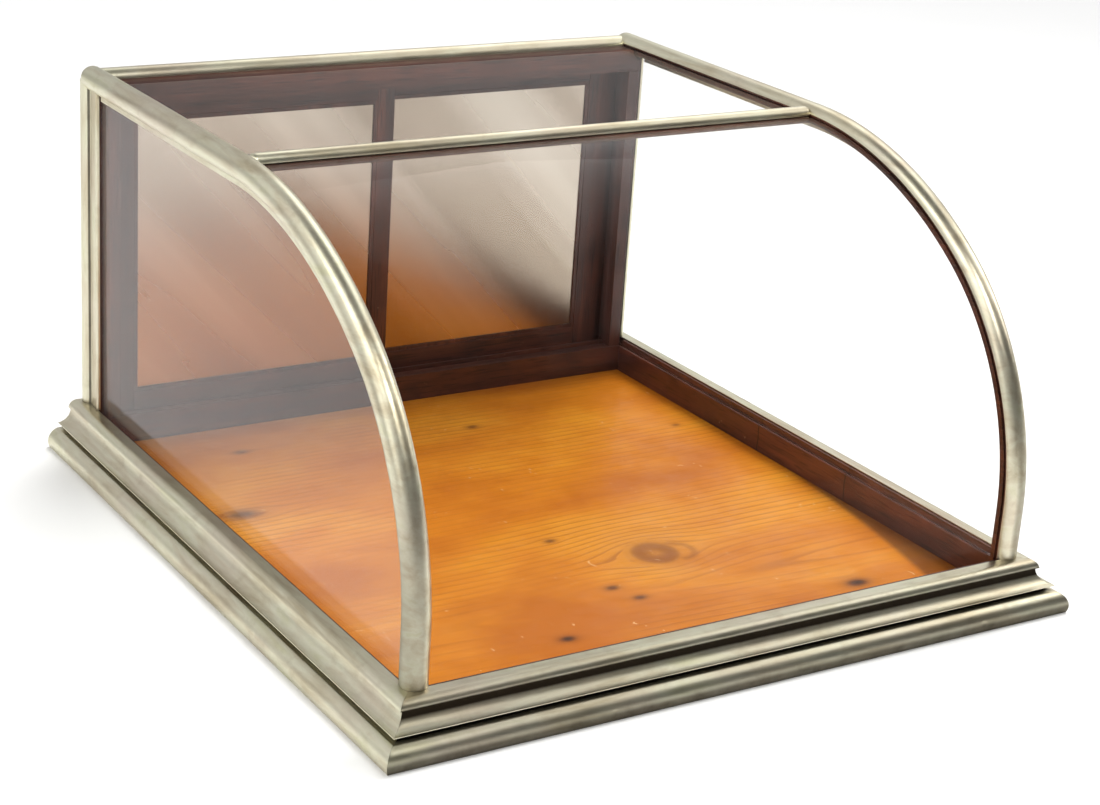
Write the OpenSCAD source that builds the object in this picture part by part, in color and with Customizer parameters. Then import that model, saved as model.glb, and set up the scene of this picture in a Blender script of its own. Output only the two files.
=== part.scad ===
// Countertop bakery display case with a bent glass front.
// Nickel-silver sheet over a mahogany frame, a pine floor, and two mirrored sliding doors at the rear.
// Frame: +X to the right seen from the front, the bent glass faces -Y, +Z up.
// The origin is on the resting plane, at the centre of the base.

/* [Case] */
// Width over the outer faces of the corner posts
case_w = 620; // [560:10:760]
// Depth from the rear plane to the front of the curved rails
case_d = 681; // [660:1:760]
// Height of the side rails above the resting plane
case_h = 380; // [376:1:400]

// Thickness of the nickel sheet over the wood
sheet_t = 1.2; // [0.8:0.1:1.4]

/* [Base] */
// Height of the nickel base moulding
base_h = 46; // [45:0.5:47]
// Thickness of the mahogany base rails
base_rail_t = 8; // [7.5:0.5:10]
// Height of the pine floor's upper face
floor_z = 11; // [9:1:14]
// Thickness of the pine floor
floor_t = 6; // [4:1:6]

/* [Rails] */
// Radius of the nickel side rails
rail_r = 11.5; // [11:0.1:12]
// Horizontal run of the bend, from its start to the rail's front
bend_run = 328; // [320:1:336]
// How much larger the bend's upper radius is than its lower one
bend_ease = 120; // [100:1:140]
// Radius of the half-round cross rail
cross_r = 7.5; // [6.5:0.5:8]

/* [Glass] */
// Thickness of every pane
glass_t = 3; // [2.5:0.5:3]

/* [Doors] */
// Thickness of a sliding door
door_t = 10; // [9:0.5:10]
// Width of a sliding door
door_w = 304; // [300:1:306]
// Width of a door's outer stile
stile_outer_w = 28; // [24:1:32]
// Width of a door's meeting stile
stile_meet_w = 19; // [16:1:24]
// Height of a door's bottom rail
door_bottom_h = 23.5; // [20:0.5:28]
// Height of a door's top rail
door_top_h = 21.5; // [18:0.5:26]
// How far the right door stands short of its closed place
right_gap = 12; // [0:1:40]

/* [Hidden] */

nickel = [0.72, 0.70, 0.60];
mahogany = [0.33, 0.15, 0.11];
pine = [0.85, 0.52, 0.20];
glass = [0.75, 0.87, 0.88, 0.35];
silvered = [0.62, 0.62, 0.62];

// Base moulding's outline: the torus at the foot, the quirk above it, the lip, the cove and the nose
torus_c = [19.5, 6];
torus_r = 13.6;
torus_top_a = 77;
quirk_p = 17;
quirk_z = 19.2;
lip_p = 22.6;
lip_z = [23.6, 24.3];
cove_c = [23.5, 38.5];
cove_r = 14.2;
nose_r = 8.4;
nose_p = 3.4;
moulding_back = 5;
outline_steps = 12;

half_w = case_w / 2;
base_p = torus_c[0] + torus_r;
rear_y = (case_d + base_p) / 2;
front_y = rear_y - case_d;

// Corner post's outline
post_depth = 38;
post_wrap = 24;
post_body = 7;
post_back = 4;
round_r = 8.5;
round_end_a = 54;
fillet_p = -4.2;
bead_r = 2.2;
cove_u = [15.4, 25];
cove_dip = 1.4;

// Wood frame
rail_in = moulding_back + base_rail_t;
curb_z = base_h - 1.5;
floor_x = half_w - rail_in;
floor_front_y = front_y + rail_in;
rear_depth = 44;
frame_y = rear_y - rear_depth;
sill_z = 39;
track_z = 33.5;
head_z = 345;
head_groove_z = 358;
jamb_in_x = half_w - 27;
jamb_out_x = half_w - 8;
jamb_rebate = 10;

// Ledges and grooves that the panes stand in, and the blocks under the feet of the bent rails
groove_play = 1;
foot_block = 9.5;
cleat_w = 22;
cleat_inset = 24;
batten_half_w = 22;
groove_z = 38;
side_glass_x = half_w - 11.9;
glass_z = groove_z + 0.5;
side_glass_rear_y = rear_y - 37;

// Side rails: straight, then two arcs that meet without a corner, then a straight foot.
// The line from one arc's centre to the other's rises 4 in 5, so every point of it is exact.
rise = [0.6, 0.8];
rise_up = [-rise[0], rise[1]];
rail_x = half_w - rail_r;
rail_z = case_h - rail_r;
foot_y = front_y + rail_r;
bend_y = foot_y + bend_run;
bend_low_r = bend_run - rise[0] * bend_ease;
bend_top_r = bend_low_r + bend_ease;
bend_foot_z = rail_z - bend_run + (1 - rise[0]) * bend_ease;
top_c = [bend_y, rail_z - bend_top_r];
low_c = [foot_y + bend_low_r, bend_foot_z];

// Section of the side rails and their cores, across and out from the rail's centre line
notch = [3.2, 3.2];
lip = [3.4, -14.5];
lip_size = [2, 5.5];
glass_out = 1.5;
glass_low = glass_out - glass_t;
liner_in = -10.5;
liner_out = -0.7;
liner_low = -6.5;
liner_step = -6;
glass_edge_x = rail_x + liner_step - 0.3;
top_glass_rear_y = rear_y - 22;
head_top_z = rail_z + glass_low;

cross_z = rail_z + 2;
cross_y = bend_y + 2;
cross_flat_z = rail_z + glass_out + 0.2;
cross_end_x = half_w - 18;
cross_web = 2;

// Doors
track_play = 0.5;
track_w = door_t + 2 * track_play;
track_land = 2.5;
front_track_y = rear_y - 31.5;
rear_track_y = front_track_y + track_w + track_land;
door_z = track_z + 0.5;
door_h = 318;
closed_x = jamb_in_x + jamb_rebate - 1;
left_door_x = -closed_x;
right_door_x = closed_x - door_w - right_gap;
panel_w = door_w - stile_outer_w - stile_meet_w;
panel_h = door_h - door_bottom_h - door_top_h;
mirror_inset = 2;
mirror_t = 3;
bead_w = 4;
bead_t = 1.5;
pull_r = 7;
pull_in = 11;
pull_depth = 6;
pull_wall = 1.2;

wood_rear_y = rear_y - 2;
top_round_r = 10.4;

$fn = 64;

function arc(c, r, a0, a1, n = outline_steps) =
    [for (i = [0:n]) c + r * [cos(a0 + (a1 - a0) * i / n), sin(a0 + (a1 - a0) * i / n)]];

// Outline of the base moulding: projection from the post's face, and height
nose_c = [nose_p, base_h - nose_r];
moulding = concat(
    [[-moulding_back, 0]],
    arc(torus_c, torus_r, -asin(torus_c[1] / torus_r), torus_top_a),
    [[quirk_p, quirk_z], [quirk_p, lip_z[0]], [lip_p, lip_z[0]]],
    arc(cove_c, cove_r, -94, -180),
    arc(nose_c, nose_r, 6, 90),
    [[-moulding_back, base_h]]);

// Outline of the wood core inside the moulding's sheet
core_torus_r = torus_r - sheet_t;
core_cove_r = cove_r + sheet_t;
core_nose_r = nose_r - sheet_t;
core_quirk_p = quirk_p - sheet_t;
core_lip_z = lip_z[0] + sheet_t;
core_nose_z = nose_c[1] + 1 + sheet_t;
moulding_core = concat(
    [[-moulding_back, 0]],
    arc(torus_c, core_torus_r, -asin(torus_c[1] / core_torus_r), torus_top_a),
    [[core_quirk_p, torus_c[1] + core_torus_r * sin(torus_top_a)], [core_quirk_p, core_lip_z]],
    arc(cove_c, core_cove_r, asin((cove_c[1] - core_lip_z) / core_cove_r) - 180, -180),
    [[cove_c[0] - core_cove_r, core_nose_z]],
    arc(nose_c, core_nose_r, asin((core_nose_z - nose_c[1]) / core_nose_r), 90),
    [[-moulding_back, base_h - sheet_t]]);

// ---- helpers ----

// Places a (y, z) outline and draws it out along +X by len, from x
module along_x(x, len) {
    translate([x, 0, 0]) rotate([90, 0, 90]) linear_extrude(len) children();
}

// Places an (x, z) outline and draws it out along +Y by len, from y
module along_y(y, len) {
    translate([0, y + len, 0]) rotate([90, 0, 0]) linear_extrude(len) children();
}

module block(low, high) {
    translate(low) cube(high - low);
}

module mirrored(on) {
    if (on) mirror([1, 0, 0]) children();
    else children();
}

// Draws a section (across, outward) along the rail's path, from y_start down to z_end
module along_bend(y_start, z_end) {
    if (y_start > bend_y) along_top(y_start, bend_y) children();
    bend_arc(top_c, bend_top_r, [[0, 1], rise_up]) children();
    bend_arc(low_c, bend_low_r, [rise_up, [-1, 0]]) children();
    translate([0, foot_y, z_end]) linear_extrude(bend_foot_z - z_end)
        mirror([0, 1, 0]) children();
}

// Draws a section along the straight upper part, from y_start to y_end
module along_top(y_start, y_end) {
    translate([0, y_start, rail_z]) rotate([90, 0, 0]) linear_extrude(y_start - y_end) children();
}

// A quarter turn about centre c, kept between the first two directions of cut
module bend_arc(c, r, cut) {
    far = 2 * r;
    intersection() {
        translate([0, c[0], c[1]]) rotate([180, -90, 0])
            rotate_extrude(angle = 90, $fn = 180)
                translate([r, 0]) mirror([1, -1, 0]) children();
        along_x(-case_w, 2 * case_w)
            polygon([c, c + far * cut[0], c + far * (cut[0] + cut[1]), c + far * cut[1]]);
    }
}

// ---- base ----

// Mitred corners: everything in front of the two diagonals, or beside the right one
mitre_reach = 40;

module front_run() {
    reach = mitre_reach;
    intersection() {
        along_x(-half_w - reach, case_w + 2 * reach)
            translate([front_y, 0]) mirror([1, 0, 0]) children();
        linear_extrude(base_h) polygon([
            [-half_w - reach, front_y - reach], [half_w + reach, front_y - reach],
            [half_w - reach, front_y + reach], [-half_w + reach, front_y + reach]]);
    }
}

module side_run(left) {
    reach = mitre_reach;
    mirrored(left) intersection() {
        along_y(front_y - reach, case_d + reach) translate([half_w, 0]) children();
        linear_extrude(base_h) polygon([
            [half_w - reach, front_y + reach], [half_w + reach, front_y - reach],
            [half_w + reach, rear_y], [half_w - reach, rear_y]]);
    }
}

module moulding_sheet() {
    difference() {
        polygon(moulding);
        polygon(moulding_core);
    }
}

module base_moulding_front() {
    color(nickel) front_run() moulding_sheet();
}

module base_moulding_side(left) {
    color(nickel) side_run(left) moulding_sheet();
}

module moulding_core_front() {
    color(mahogany) front_run() polygon(moulding_core);
}

module moulding_core_side(left) {
    color(mahogany) side_run(left) polygon(moulding_core);
}

module base_rail_front() {
    low = front_y + moulding_back;
    groove_y = foot_y - glass_out - groove_play;
    color(mahogany) difference() {
        union() {
            block([-half_w + moulding_back, low, 0],
                  [half_w - moulding_back, floor_front_y, curb_z]);
            for (side = [0, 1])
                mirrored(side == 1)
                    block([floor_x - foot_block, floor_front_y - 1, floor_z],
                          [floor_x, floor_front_y + foot_block, curb_z]);
        }
        block([-glass_edge_x - 1, groove_y, groove_z],
              [glass_edge_x + 1, floor_front_y + 0.2, base_h]);
        for (side = [0, 1])
            mirrored(side == 1)
                block([side_glass_x - groove_play, foot_y - 4, groove_z],
                      [side_glass_x + glass_t + groove_play, floor_front_y + 1, base_h]);
    }
}

module base_rail_side(left) {
    color(mahogany) mirrored(left) difference() {
        block([floor_x, floor_front_y, 0], [half_w - moulding_back, frame_y, curb_z]);
        block([floor_x - 1, floor_front_y - 1, groove_z],
              [side_glass_x + glass_t + groove_play, frame_y + 1, base_h]);
    }
}

module rear_sill() {
    color(mahogany) difference() {
        block([-half_w + moulding_back, frame_y, 0], [half_w - moulding_back, wood_rear_y, sill_z]);
        for (y = [front_track_y, rear_track_y])
            block([-closed_x - 1, y, track_z], [closed_x + 1, y + track_w, sill_z + 1]);
        for (side = [0, 1])
            mirrored(side == 1)
                block([side_glass_x - groove_play, frame_y - 1, groove_z],
                      [side_glass_x + glass_t + groove_play, side_glass_rear_y + 1, sill_z + 1]);
    }
}

module floor_board() {
    color(pine) block([-floor_x, floor_front_y, floor_z - floor_t], [floor_x, frame_y, floor_z]);
}

module floor_cleat(left) {
    color(mahogany) mirrored(left)
        block([floor_x - cleat_w, floor_front_y + cleat_inset, 0],
              [floor_x, frame_y - cleat_inset, floor_z - floor_t]);
}

module floor_batten() {
    color(pine) block([-floor_x + cleat_w, -batten_half_w, 0],
                      [floor_x - cleat_w, batten_half_w, floor_z - floor_t]);
}

// ---- rear frame ----

// Plan outline of the right corner post: half-round, cove, fillet and bead on its side face,
// as points (outward from the case, forward from the rear plane)
post_pts = concat(
    [[-post_wrap, post_back], [-post_wrap, 0.8], [-post_wrap + 1, 0]],
    arc([-round_r, round_r], round_r, -90, round_end_a),
    [for (i = [0:8]) [fillet_p + 0.7 - 0.7 * i / 8 - cove_dip * sin(180 * i / 8),
        cove_u[0] + (cove_u[1] - cove_u[0]) * i / 8]],
    [[fillet_p, post_depth - 2 * bead_r]],
    arc([fillet_p + 0.7 - bead_r, post_depth - bead_r], bead_r, -40, 90),
    [[-post_body, post_depth], [-post_body, post_back]]);

module post_outline() {
    polygon([for (p = post_pts) [half_w + p[0], rear_y - p[1]]]);
}

module corner_post(left) {
    color(nickel) mirrored(left) difference() {
        translate([0, 0, base_h]) linear_extrude(head_top_z - base_h) post_outline();
        rail_bore(rear_y + 1);
    }
}

// The space that the right side rail takes, from y forwards
module rail_bore(y) {
    translate([rail_x, y, rail_z]) rotate([90, 0, 0]) cylinder(r = rail_r, h = 60);
}

module rear_jamb(left) {
    rebate_y = front_track_y;
    color(mahogany) mirrored(left) difference() {
        union() {
            block([jamb_in_x, frame_y, sill_z],
                  [side_glass_x - groove_play, rear_y - post_back, head_z]);
            block([side_glass_x - groove_play, side_glass_rear_y + 1, sill_z],
                  [half_w - post_body, rear_y - post_back, head_z]);
        }
        block([jamb_in_x - 1, rebate_y, sill_z - 1],
              [jamb_in_x + jamb_rebate, rear_track_y + track_w, head_z + 1]);
    }
}

module head_rail() {
    out_x = half_w - post_body;
    clear_x = half_w - post_wrap;
    color(mahogany) difference() {
        union() {
            block([-side_glass_x + groove_play, frame_y, head_z],
                  [side_glass_x - groove_play, rear_y - post_back, head_top_z]);
            block([-clear_x, rear_y - 2 * post_back, head_z], [clear_x, wood_rear_y, head_top_z]);
            along_x(-side_glass_x, 2 * side_glass_x) half_round(top_round_r - sheet_t);
            block([-out_x, side_glass_rear_y + 1, head_z], [out_x, rear_y - post_back, head_top_z]);
        }
        for (y = [front_track_y, rear_track_y])
            block([-closed_x - 1, y, head_z - 1], [closed_x + 1, y + track_w, head_groove_z]);
        for (side = [0, 1]) mirrored(side == 1) rail_bore(rear_y + 1);
    }
}

// Half-round outline of the rear top rail, on the head rail's top
module half_round(r) {
    intersection() {
        translate([rear_y - top_round_r - 0.5, head_top_z]) circle(r);
        translate([rear_y - 3 * r, head_top_z]) square([4 * r, 2 * r]);
    }
}

module rear_top_rail() {
    color(nickel) difference() {
        along_x(-rail_x, 2 * rail_x) difference() {
            half_round(top_round_r);
            half_round(top_round_r - sheet_t);
        }
        for (side = [0, 1]) mirrored(side == 1) rail_bore(rear_y + 1);
    }
}

// ---- side rails ----

// Nickel sheet round the rail, open where the wood shows on the inner side
module rail_section() {
    difference() {
        circle(rail_r);
        circle(rail_r - sheet_t);
        translate([-2 * rail_r, -2 * rail_r]) square([2 * rail_r + notch[0], 2 * rail_r + notch[1]]);
    }
}

// The same with the lip that hides the side glass's edge
module lipped_section() {
    rail_section();
    difference() {
        translate(lip) square(lip_size);
        circle(rail_r - sheet_t);
    }
}

module side_rail(left) {
    end_y = rear_y - rail_r;
    color(nickel) mirrored(left) translate([rail_x, 0, 0]) union() {
        along_top(frame_y, bend_y) lipped_section();
        along_top(top_glass_rear_y, frame_y) rail_section();
        along_top(end_y, top_glass_rear_y) difference() {
            circle(rail_r);
            circle(rail_r - sheet_t);
        }
        translate([0, end_y, rail_z]) difference() {
            sphere(rail_r);
            rotate([90, 0, 0]) cylinder(r = 2 * rail_r, h = 2 * rail_r);
        }
    }
}

module bent_rail(left) {
    color(nickel) mirrored(left) translate([rail_x, 0, 0])
        along_bend(bend_y, base_h) lipped_section();
}

// Space for the edges of the panes, in the wood inside the sheet
module pane_slots() {
    translate([liner_step - rail_r, glass_low]) square([rail_r, glass_t]);
    translate([liner_out, -2 * rail_r]) square([notch[0] - liner_out, 2 * rail_r + notch[1]]);
}

// Wood inside the sheet
module core_section() {
    difference() {
        circle(rail_r - sheet_t);
        pane_slots();
    }
}

// Strip of wood that shows along the inner side
module strip_section() {
    difference() {
        translate([liner_in, liner_low]) square([liner_out - liner_in, notch[1] - liner_low]);
        pane_slots();
    }
}

module strip_and_core() {
    difference() {
        union() {
            core_section();
            strip_section();
        }
        translate([-2 * rail_r, liner_low - rail_r]) square([2 * rail_r, rail_r]);
    }
}

module rail_core(left) {
    end_y = rear_y - rail_r;
    color(mahogany) mirrored(left) translate([rail_x, 0, 0]) {
        along_bend(frame_y, base_h) strip_and_core();
        along_top(top_glass_rear_y, frame_y) core_section();
        along_top(end_y, top_glass_rear_y) circle(rail_r - sheet_t);
        translate([0, foot_y, curb_z]) linear_extrude(base_h - curb_z)
            mirror([0, 1, 0]) strip_section();
    }
}

module cross_rail() {
    reach = cross_end_x - cross_r;
    in_r = cross_r - sheet_t;
    color(nickel) difference() {
        translate([0, cross_y, cross_z]) difference() {
            union() {
                rotate([0, 90, 0]) translate([0, 0, -reach]) cylinder(r = cross_r, h = 2 * reach);
                for (x = [-reach, reach]) translate([x, 0, 0]) sphere(cross_r);
            }
            rotate([0, 90, 0]) translate([0, 0, -reach]) cylinder(r = in_r, h = 2 * reach);
        }
        block([-half_w, cross_y - 2 * cross_r, cross_z - 2 * cross_r],
              [half_w, cross_y + 2 * cross_r, cross_flat_z]);
        for (side = [0, 1]) mirrored(side == 1) rail_bore(cross_y + 4 * cross_r);
    }
}

// Wood under and inside the cross rail, with a web between the top and front panes
module cross_core() {
    low_z = rail_z + liner_low;
    reach = rail_x + liner_in - 1;
    core_r = cross_r - sheet_t;
    inner = cross_end_x - cross_r - 0.5;
    strip_top = head_top_z - 0.1;
    color(mahogany) {
        along_x(-reach, 2 * reach) translate([cross_y - cross_r, low_z])
            square([2 * cross_r, strip_top - low_z]);
        along_x(-inner, 2 * inner) translate([cross_y, 0]) {
            translate([-cross_web / 2, strip_top - 1])
                square([cross_web, cross_z - strip_top + 2]);
            intersection() {
                translate([0, cross_z]) circle(core_r);
                translate([-cross_r, cross_flat_z]) square(2 * cross_r);
            }
        }
    }
}

// ---- glass ----

module top_glass() {
    gap = 0.3;
    color(glass)
        block([-glass_edge_x, cross_y + cross_web / 2 + gap, head_top_z],
              [glass_edge_x, top_glass_rear_y - 0.1, rail_z + glass_out]);
}

module front_glass() {
    gap = 0.3;
    color(glass) along_bend(cross_y - cross_web / 2 - gap, glass_z)
        translate([-glass_edge_x, glass_low]) square([2 * glass_edge_x, glass_t]);
}

// Part of a disc about c, between two directions
module sector(c, r, cut) {
    far = 2 * r;
    intersection() {
        translate(c) circle(r, $fn = 180);
        polygon([c, c + far * cut[0], c + far * (cut[0] + cut[1]), c + far * cut[1]]);
    }
}

module side_glass(left) {
    over = 2.2;
    color(glass) mirrored(left) along_x(side_glass_x, glass_t) union() {
        translate([bend_y, glass_z]) square([side_glass_rear_y - bend_y, rail_z + over - glass_z]);
        translate([foot_y - over, glass_z])
            square([bend_y - foot_y + over, bend_foot_z - glass_z]);
        difference() {
            sector(top_c, bend_top_r + over, [[0, 1], rise_up]);
            translate([foot_y, bend_foot_z - case_h]) square([case_d, case_h]);
        }
        sector(low_c, bend_low_r + over, [rise_up, [-1, 0]]);
        translate([low_c[0], bend_foot_z])
            square([bend_y - low_c[0], (bend_y - low_c[0]) * rise[1] / rise[0]]);
    }
}

// ---- doors ----

// Moves a door's own frame, x from its left edge and y from its front face, to its track
module in_left_track() {
    translate([left_door_x, front_track_y + track_play, door_z]) children();
}

module in_right_track() {
    translate([right_door_x + door_w, rear_track_y + track_play, door_z]) mirror([1, 0, 0])
        children();
}

module outer_stile() {
    color(mahogany) difference() {
        cube([stile_outer_w, door_t, door_h]);
        translate([stile_outer_w - pull_in, door_t + 1, door_h / 2]) rotate([90, 0, 0])
            cylinder(r = pull_r + 0.1, h = pull_depth + 1);
        rebate();
    }
}

module meeting_stile() {
    color(mahogany) difference() {
        translate([door_w - stile_meet_w, 0, 0]) cube([stile_meet_w, door_t, door_h]);
        rebate();
    }
}

// Space for the mirror and its backing, cut into the frame from behind
module rebate() {
    lap = 3;
    translate([stile_outer_w - lap, mirror_inset, door_bottom_h - lap])
        cube([panel_w + 2 * lap, door_t, panel_h + 2 * lap]);
}

module door_rail(top) {
    color(mahogany) difference() {
        translate([stile_outer_w, 0, top ? door_h - door_top_h : 0])
            cube([panel_w, door_t, top ? door_top_h : door_bottom_h]);
        rebate();
    }
}

module door_panel(y, t) {
    lap = 2.5;
    translate([stile_outer_w - lap, y, door_bottom_h - lap])
        cube([panel_w + 2 * lap, t, panel_h + 2 * lap]);
}

module door_mirror() {
    color(silvered) door_panel(mirror_inset, mirror_t);
}

// Slim bead round the mirror, on its front face
module door_bead() {
    color(mahogany) difference() {
        translate([stile_outer_w, mirror_inset - bead_t, door_bottom_h])
            cube([panel_w, bead_t, panel_h]);
        translate([stile_outer_w + bead_w, 0, door_bottom_h + bead_w])
            cube([panel_w - 2 * bead_w, door_t, panel_h - 2 * bead_w]);
    }
}

module door_backing() {
    color(mahogany) door_panel(mirror_inset + mirror_t, door_t - mirror_inset - mirror_t - 0.5);
}

// Round flush pull: a shallow cup let into the rear face of the outer stile
module door_pull() {
    color(nickel) translate([stile_outer_w - pull_in, door_t, door_h / 2]) rotate([90, 0, 0])
        difference() {
            cylinder(r = pull_r, h = pull_depth);
            translate([0, 0, -1]) cylinder(r = pull_r - pull_wall, h = pull_depth);
        }
}

base_moulding_front();
base_moulding_side(true);  // base_moulding_left
base_moulding_side(false);  // base_moulding_right
moulding_core_front();
moulding_core_side(true);  // moulding_core_left
moulding_core_side(false);  // moulding_core_right
base_rail_front();
base_rail_side(true);  // base_rail_left
base_rail_side(false);  // base_rail_right
rear_sill();
floor_board();
floor_cleat(true);  // floor_cleat_left
floor_cleat(false);  // floor_cleat_right
floor_batten();
corner_post(true);  // corner_post_left
corner_post(false);  // corner_post_right
rear_jamb(true);  // rear_jamb_left
rear_jamb(false);  // rear_jamb_right
head_rail();
rear_top_rail();
side_rail(true);  // side_rail_left
side_rail(false);  // side_rail_right
bent_rail(true);  // bent_rail_left
bent_rail(false);  // bent_rail_right
rail_core(true);  // rail_core_left
rail_core(false);  // rail_core_right
cross_rail();
cross_core();
top_glass();
front_glass();
side_glass(true);  // side_glass_left
side_glass(false);  // side_glass_right
in_left_track() outer_stile();  // left_door_outer_stile
in_left_track() meeting_stile();  // left_door_meeting_stile
in_left_track() door_rail(true);  // left_door_top_rail
in_left_track() door_rail(false);  // left_door_bottom_rail
in_left_track() door_mirror();  // left_door_mirror
in_left_track() door_bead();  // left_door_bead
in_left_track() door_backing();  // left_door_backing
in_left_track() door_pull();  // left_door_pull
in_right_track() outer_stile();  // right_door_outer_stile
in_right_track() meeting_stile();  // right_door_meeting_stile
in_right_track() door_rail(true);  // right_door_top_rail
in_right_track() door_rail(false);  // right_door_bottom_rail
in_right_track() door_mirror();  // right_door_mirror
in_right_track() door_bead();  // right_door_bead
in_right_track() door_backing();  // right_door_backing
in_right_track() door_pull();  // right_door_pull
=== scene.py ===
import math

import bmesh
import bpy
import numpy as np
from mathutils import Matrix, Vector, noise


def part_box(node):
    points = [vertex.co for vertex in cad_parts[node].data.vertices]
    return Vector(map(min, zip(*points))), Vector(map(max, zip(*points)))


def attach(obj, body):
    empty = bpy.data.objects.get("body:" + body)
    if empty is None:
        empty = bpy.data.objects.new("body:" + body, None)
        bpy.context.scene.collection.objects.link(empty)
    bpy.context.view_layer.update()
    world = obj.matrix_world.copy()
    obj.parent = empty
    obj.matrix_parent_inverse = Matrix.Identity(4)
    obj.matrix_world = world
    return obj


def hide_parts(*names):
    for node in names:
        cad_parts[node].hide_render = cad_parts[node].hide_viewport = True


MM = 0.001
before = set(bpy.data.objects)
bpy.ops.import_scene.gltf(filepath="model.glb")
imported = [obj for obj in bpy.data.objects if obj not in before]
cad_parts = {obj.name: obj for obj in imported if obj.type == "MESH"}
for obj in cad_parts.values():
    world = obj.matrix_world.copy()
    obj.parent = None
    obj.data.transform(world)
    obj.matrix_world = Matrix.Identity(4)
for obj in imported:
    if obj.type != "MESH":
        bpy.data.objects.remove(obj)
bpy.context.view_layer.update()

# ---------------------------------------------------------------- places taken from the frame

POST_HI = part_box("corner_post_right")[1]
RAIL_LO, RAIL_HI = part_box("side_rail_right")
FLOOR_LO, FLOOR_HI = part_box("floor_board")

HALF_W = POST_HI.x
REAR_Y = POST_HI.y
FRONT_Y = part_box("bent_rail_right")[0].y
BASE_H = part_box("base_moulding_front")[1].z
RAIL_R = 11.5 * MM
RAIL_X = HALF_W - RAIL_R
RAIL_Z = RAIL_HI.z - RAIL_R
FRAME_Y = REAR_Y - 44 * MM        # front of the rear frame
GLASS_REAR_Y = REAR_Y - 22 * MM   # rear edge of the top glass

# The side rails' centre line: straight, then two arcs that meet at the angle SPLIT, then a foot
FOOT_Y = FRONT_Y + RAIL_R
BEND_Y = RAIL_LO.y
BEND_RUN = BEND_Y - FOOT_Y
BEND_EASE = 120 * MM
LOW_R = BEND_RUN - 0.6 * BEND_EASE
TOP_R = LOW_R + BEND_EASE
FOOT_Z = RAIL_Z - BEND_RUN + 0.4 * BEND_EASE
TOP_C = (BEND_Y, RAIL_Z - TOP_R)
LOW_C = (FOOT_Y + LOW_R, FOOT_Z)
SPLIT = math.atan2(0.6, 0.8)

SHEET = 1.2 * MM
GLASS_OUT = 1.5 * MM              # from the rail's centre line to the panes' outer face
GLASS_T = 3 * MM


# ---------------------------------------------------------------- mesh helpers

def arc(c, r, a0, a1, n):
    """Points on an arc, centre and radius in millimetres, angles in degrees."""
    out = []
    for i in range(n + 1):
        a = math.radians(a0 + (a1 - a0) * i / n)
        out.append(((c[0] + r * math.cos(a)) * MM, (c[1] + r * math.sin(a)) * MM))
    return out


def pts(*pairs):
    """Points given in millimetres."""
    return [(a * MM, b * MM) for a, b in pairs]


def new_object(name, verts, faces):
    me = bpy.data.meshes.new(name)
    me.from_pydata(verts, [], faces)
    me.validate()
    ob = bpy.data.objects.new(name, me)
    bpy.context.scene.collection.objects.link(ob)
    return ob


def fix_normals(ob):
    bm = bmesh.new()
    bm.from_mesh(ob.data)
    bmesh.ops.recalc_face_normals(bm, faces=bm.faces)
    bm.to_mesh(ob.data)
    bm.free()


def rings_object(name, rings):
    """Skins a list of equal closed rings of points, and closes both ends."""
    n = len(rings[0])
    verts = [v for ring in rings for v in ring]
    faces = []
    for k in range(len(rings) - 1):
        for j in range(n):
            a = k * n + j
            b = k * n + (j + 1) % n
            faces.append((a, b, b + n, a + n))
    faces.append(tuple(range(n))[::-1])
    faces.append(tuple((len(rings) - 1) * n + j for j in range(n)))
    ob = new_object(name, verts, faces)
    fix_normals(ob)
    return ob


def apply_modifiers(ob):
    dg = bpy.context.evaluated_depsgraph_get()
    me = bpy.data.meshes.new_from_object(ob.evaluated_get(dg))
    ob.modifiers.clear()
    ob.data = me


def soften(ob, width, segments):
    """Rounds the sharp edges by so many millimetres."""
    m = ob.modifiers.new("bevel", "BEVEL")
    m.width = width * MM
    m.segments = segments
    m.limit_method = "ANGLE"
    m.angle_limit = math.radians(30)
    m.use_clamp_overlap = True
    m.harden_normals = False
    apply_modifiers(ob)
    shade(ob)


def shade(ob, angle=40):
    """Smooth shading between faces that meet at less than the angle."""
    me = ob.data
    me.polygons.foreach_set("use_smooth", [True] * len(me.polygons))
    me.set_sharp_from_angle(angle=math.radians(angle))
    m = ob.modifiers.new("normals", "WEIGHTED_NORMAL")
    m.keep_sharp = True
    apply_modifiers(ob)


def wander(ob, depth, size, seed=0.0, dings=()):
    """Moves every point inward by a smooth amount up to depth millimetres, and presses in dings."""
    me = ob.data
    me.update()
    off = Vector((seed * 13.1, seed * 7.7, seed * 3.3))
    normals = [v.normal.copy() for v in me.vertices]
    for v, n in zip(me.vertices, normals):
        k = 0.5 + 0.5 * noise.noise(v.co / (size * MM) + off)
        d = depth * MM * min(max(k, 0.0), 1.0)
        for place, radius, deep in dings:
            q = (v.co - place).length / (radius * MM)
            if q < 1:
                d += deep * MM * (1 - q * q) ** 2
        v.co -= n * d


def place(ob, body, slot, material, *nodes):
    """Gives a piece its material, and says which body it rides and which CAD nodes it replaces."""
    ob.data.materials.clear()
    ob.data.materials.append(material)
    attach(ob, body)
    if nodes:
        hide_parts(*nodes)
    return ob


def body_name(node):
    """The body that a CAD node belongs to."""
    for side in ("left_door", "right_door"):
        if node.startswith(side):
            return side
    return "case"


def cad_copy(node, width=0.6, segments=2):
    """A copy of a CAD node's shape with its edges eased."""
    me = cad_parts[node].data.copy()
    bm = bmesh.new()
    bm.from_mesh(me)
    bmesh.ops.remove_doubles(bm, verts=bm.verts, dist=1e-6)
    bmesh.ops.dissolve_limit(bm, angle_limit=math.radians(0.5), verts=bm.verts, edges=bm.edges)
    bm.to_mesh(me)
    bm.free()
    me.materials.clear()
    ob = bpy.data.objects.new("shown_" + node, me)
    bpy.context.scene.collection.objects.link(ob)
    soften(ob, width, segments)
    return ob


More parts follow.
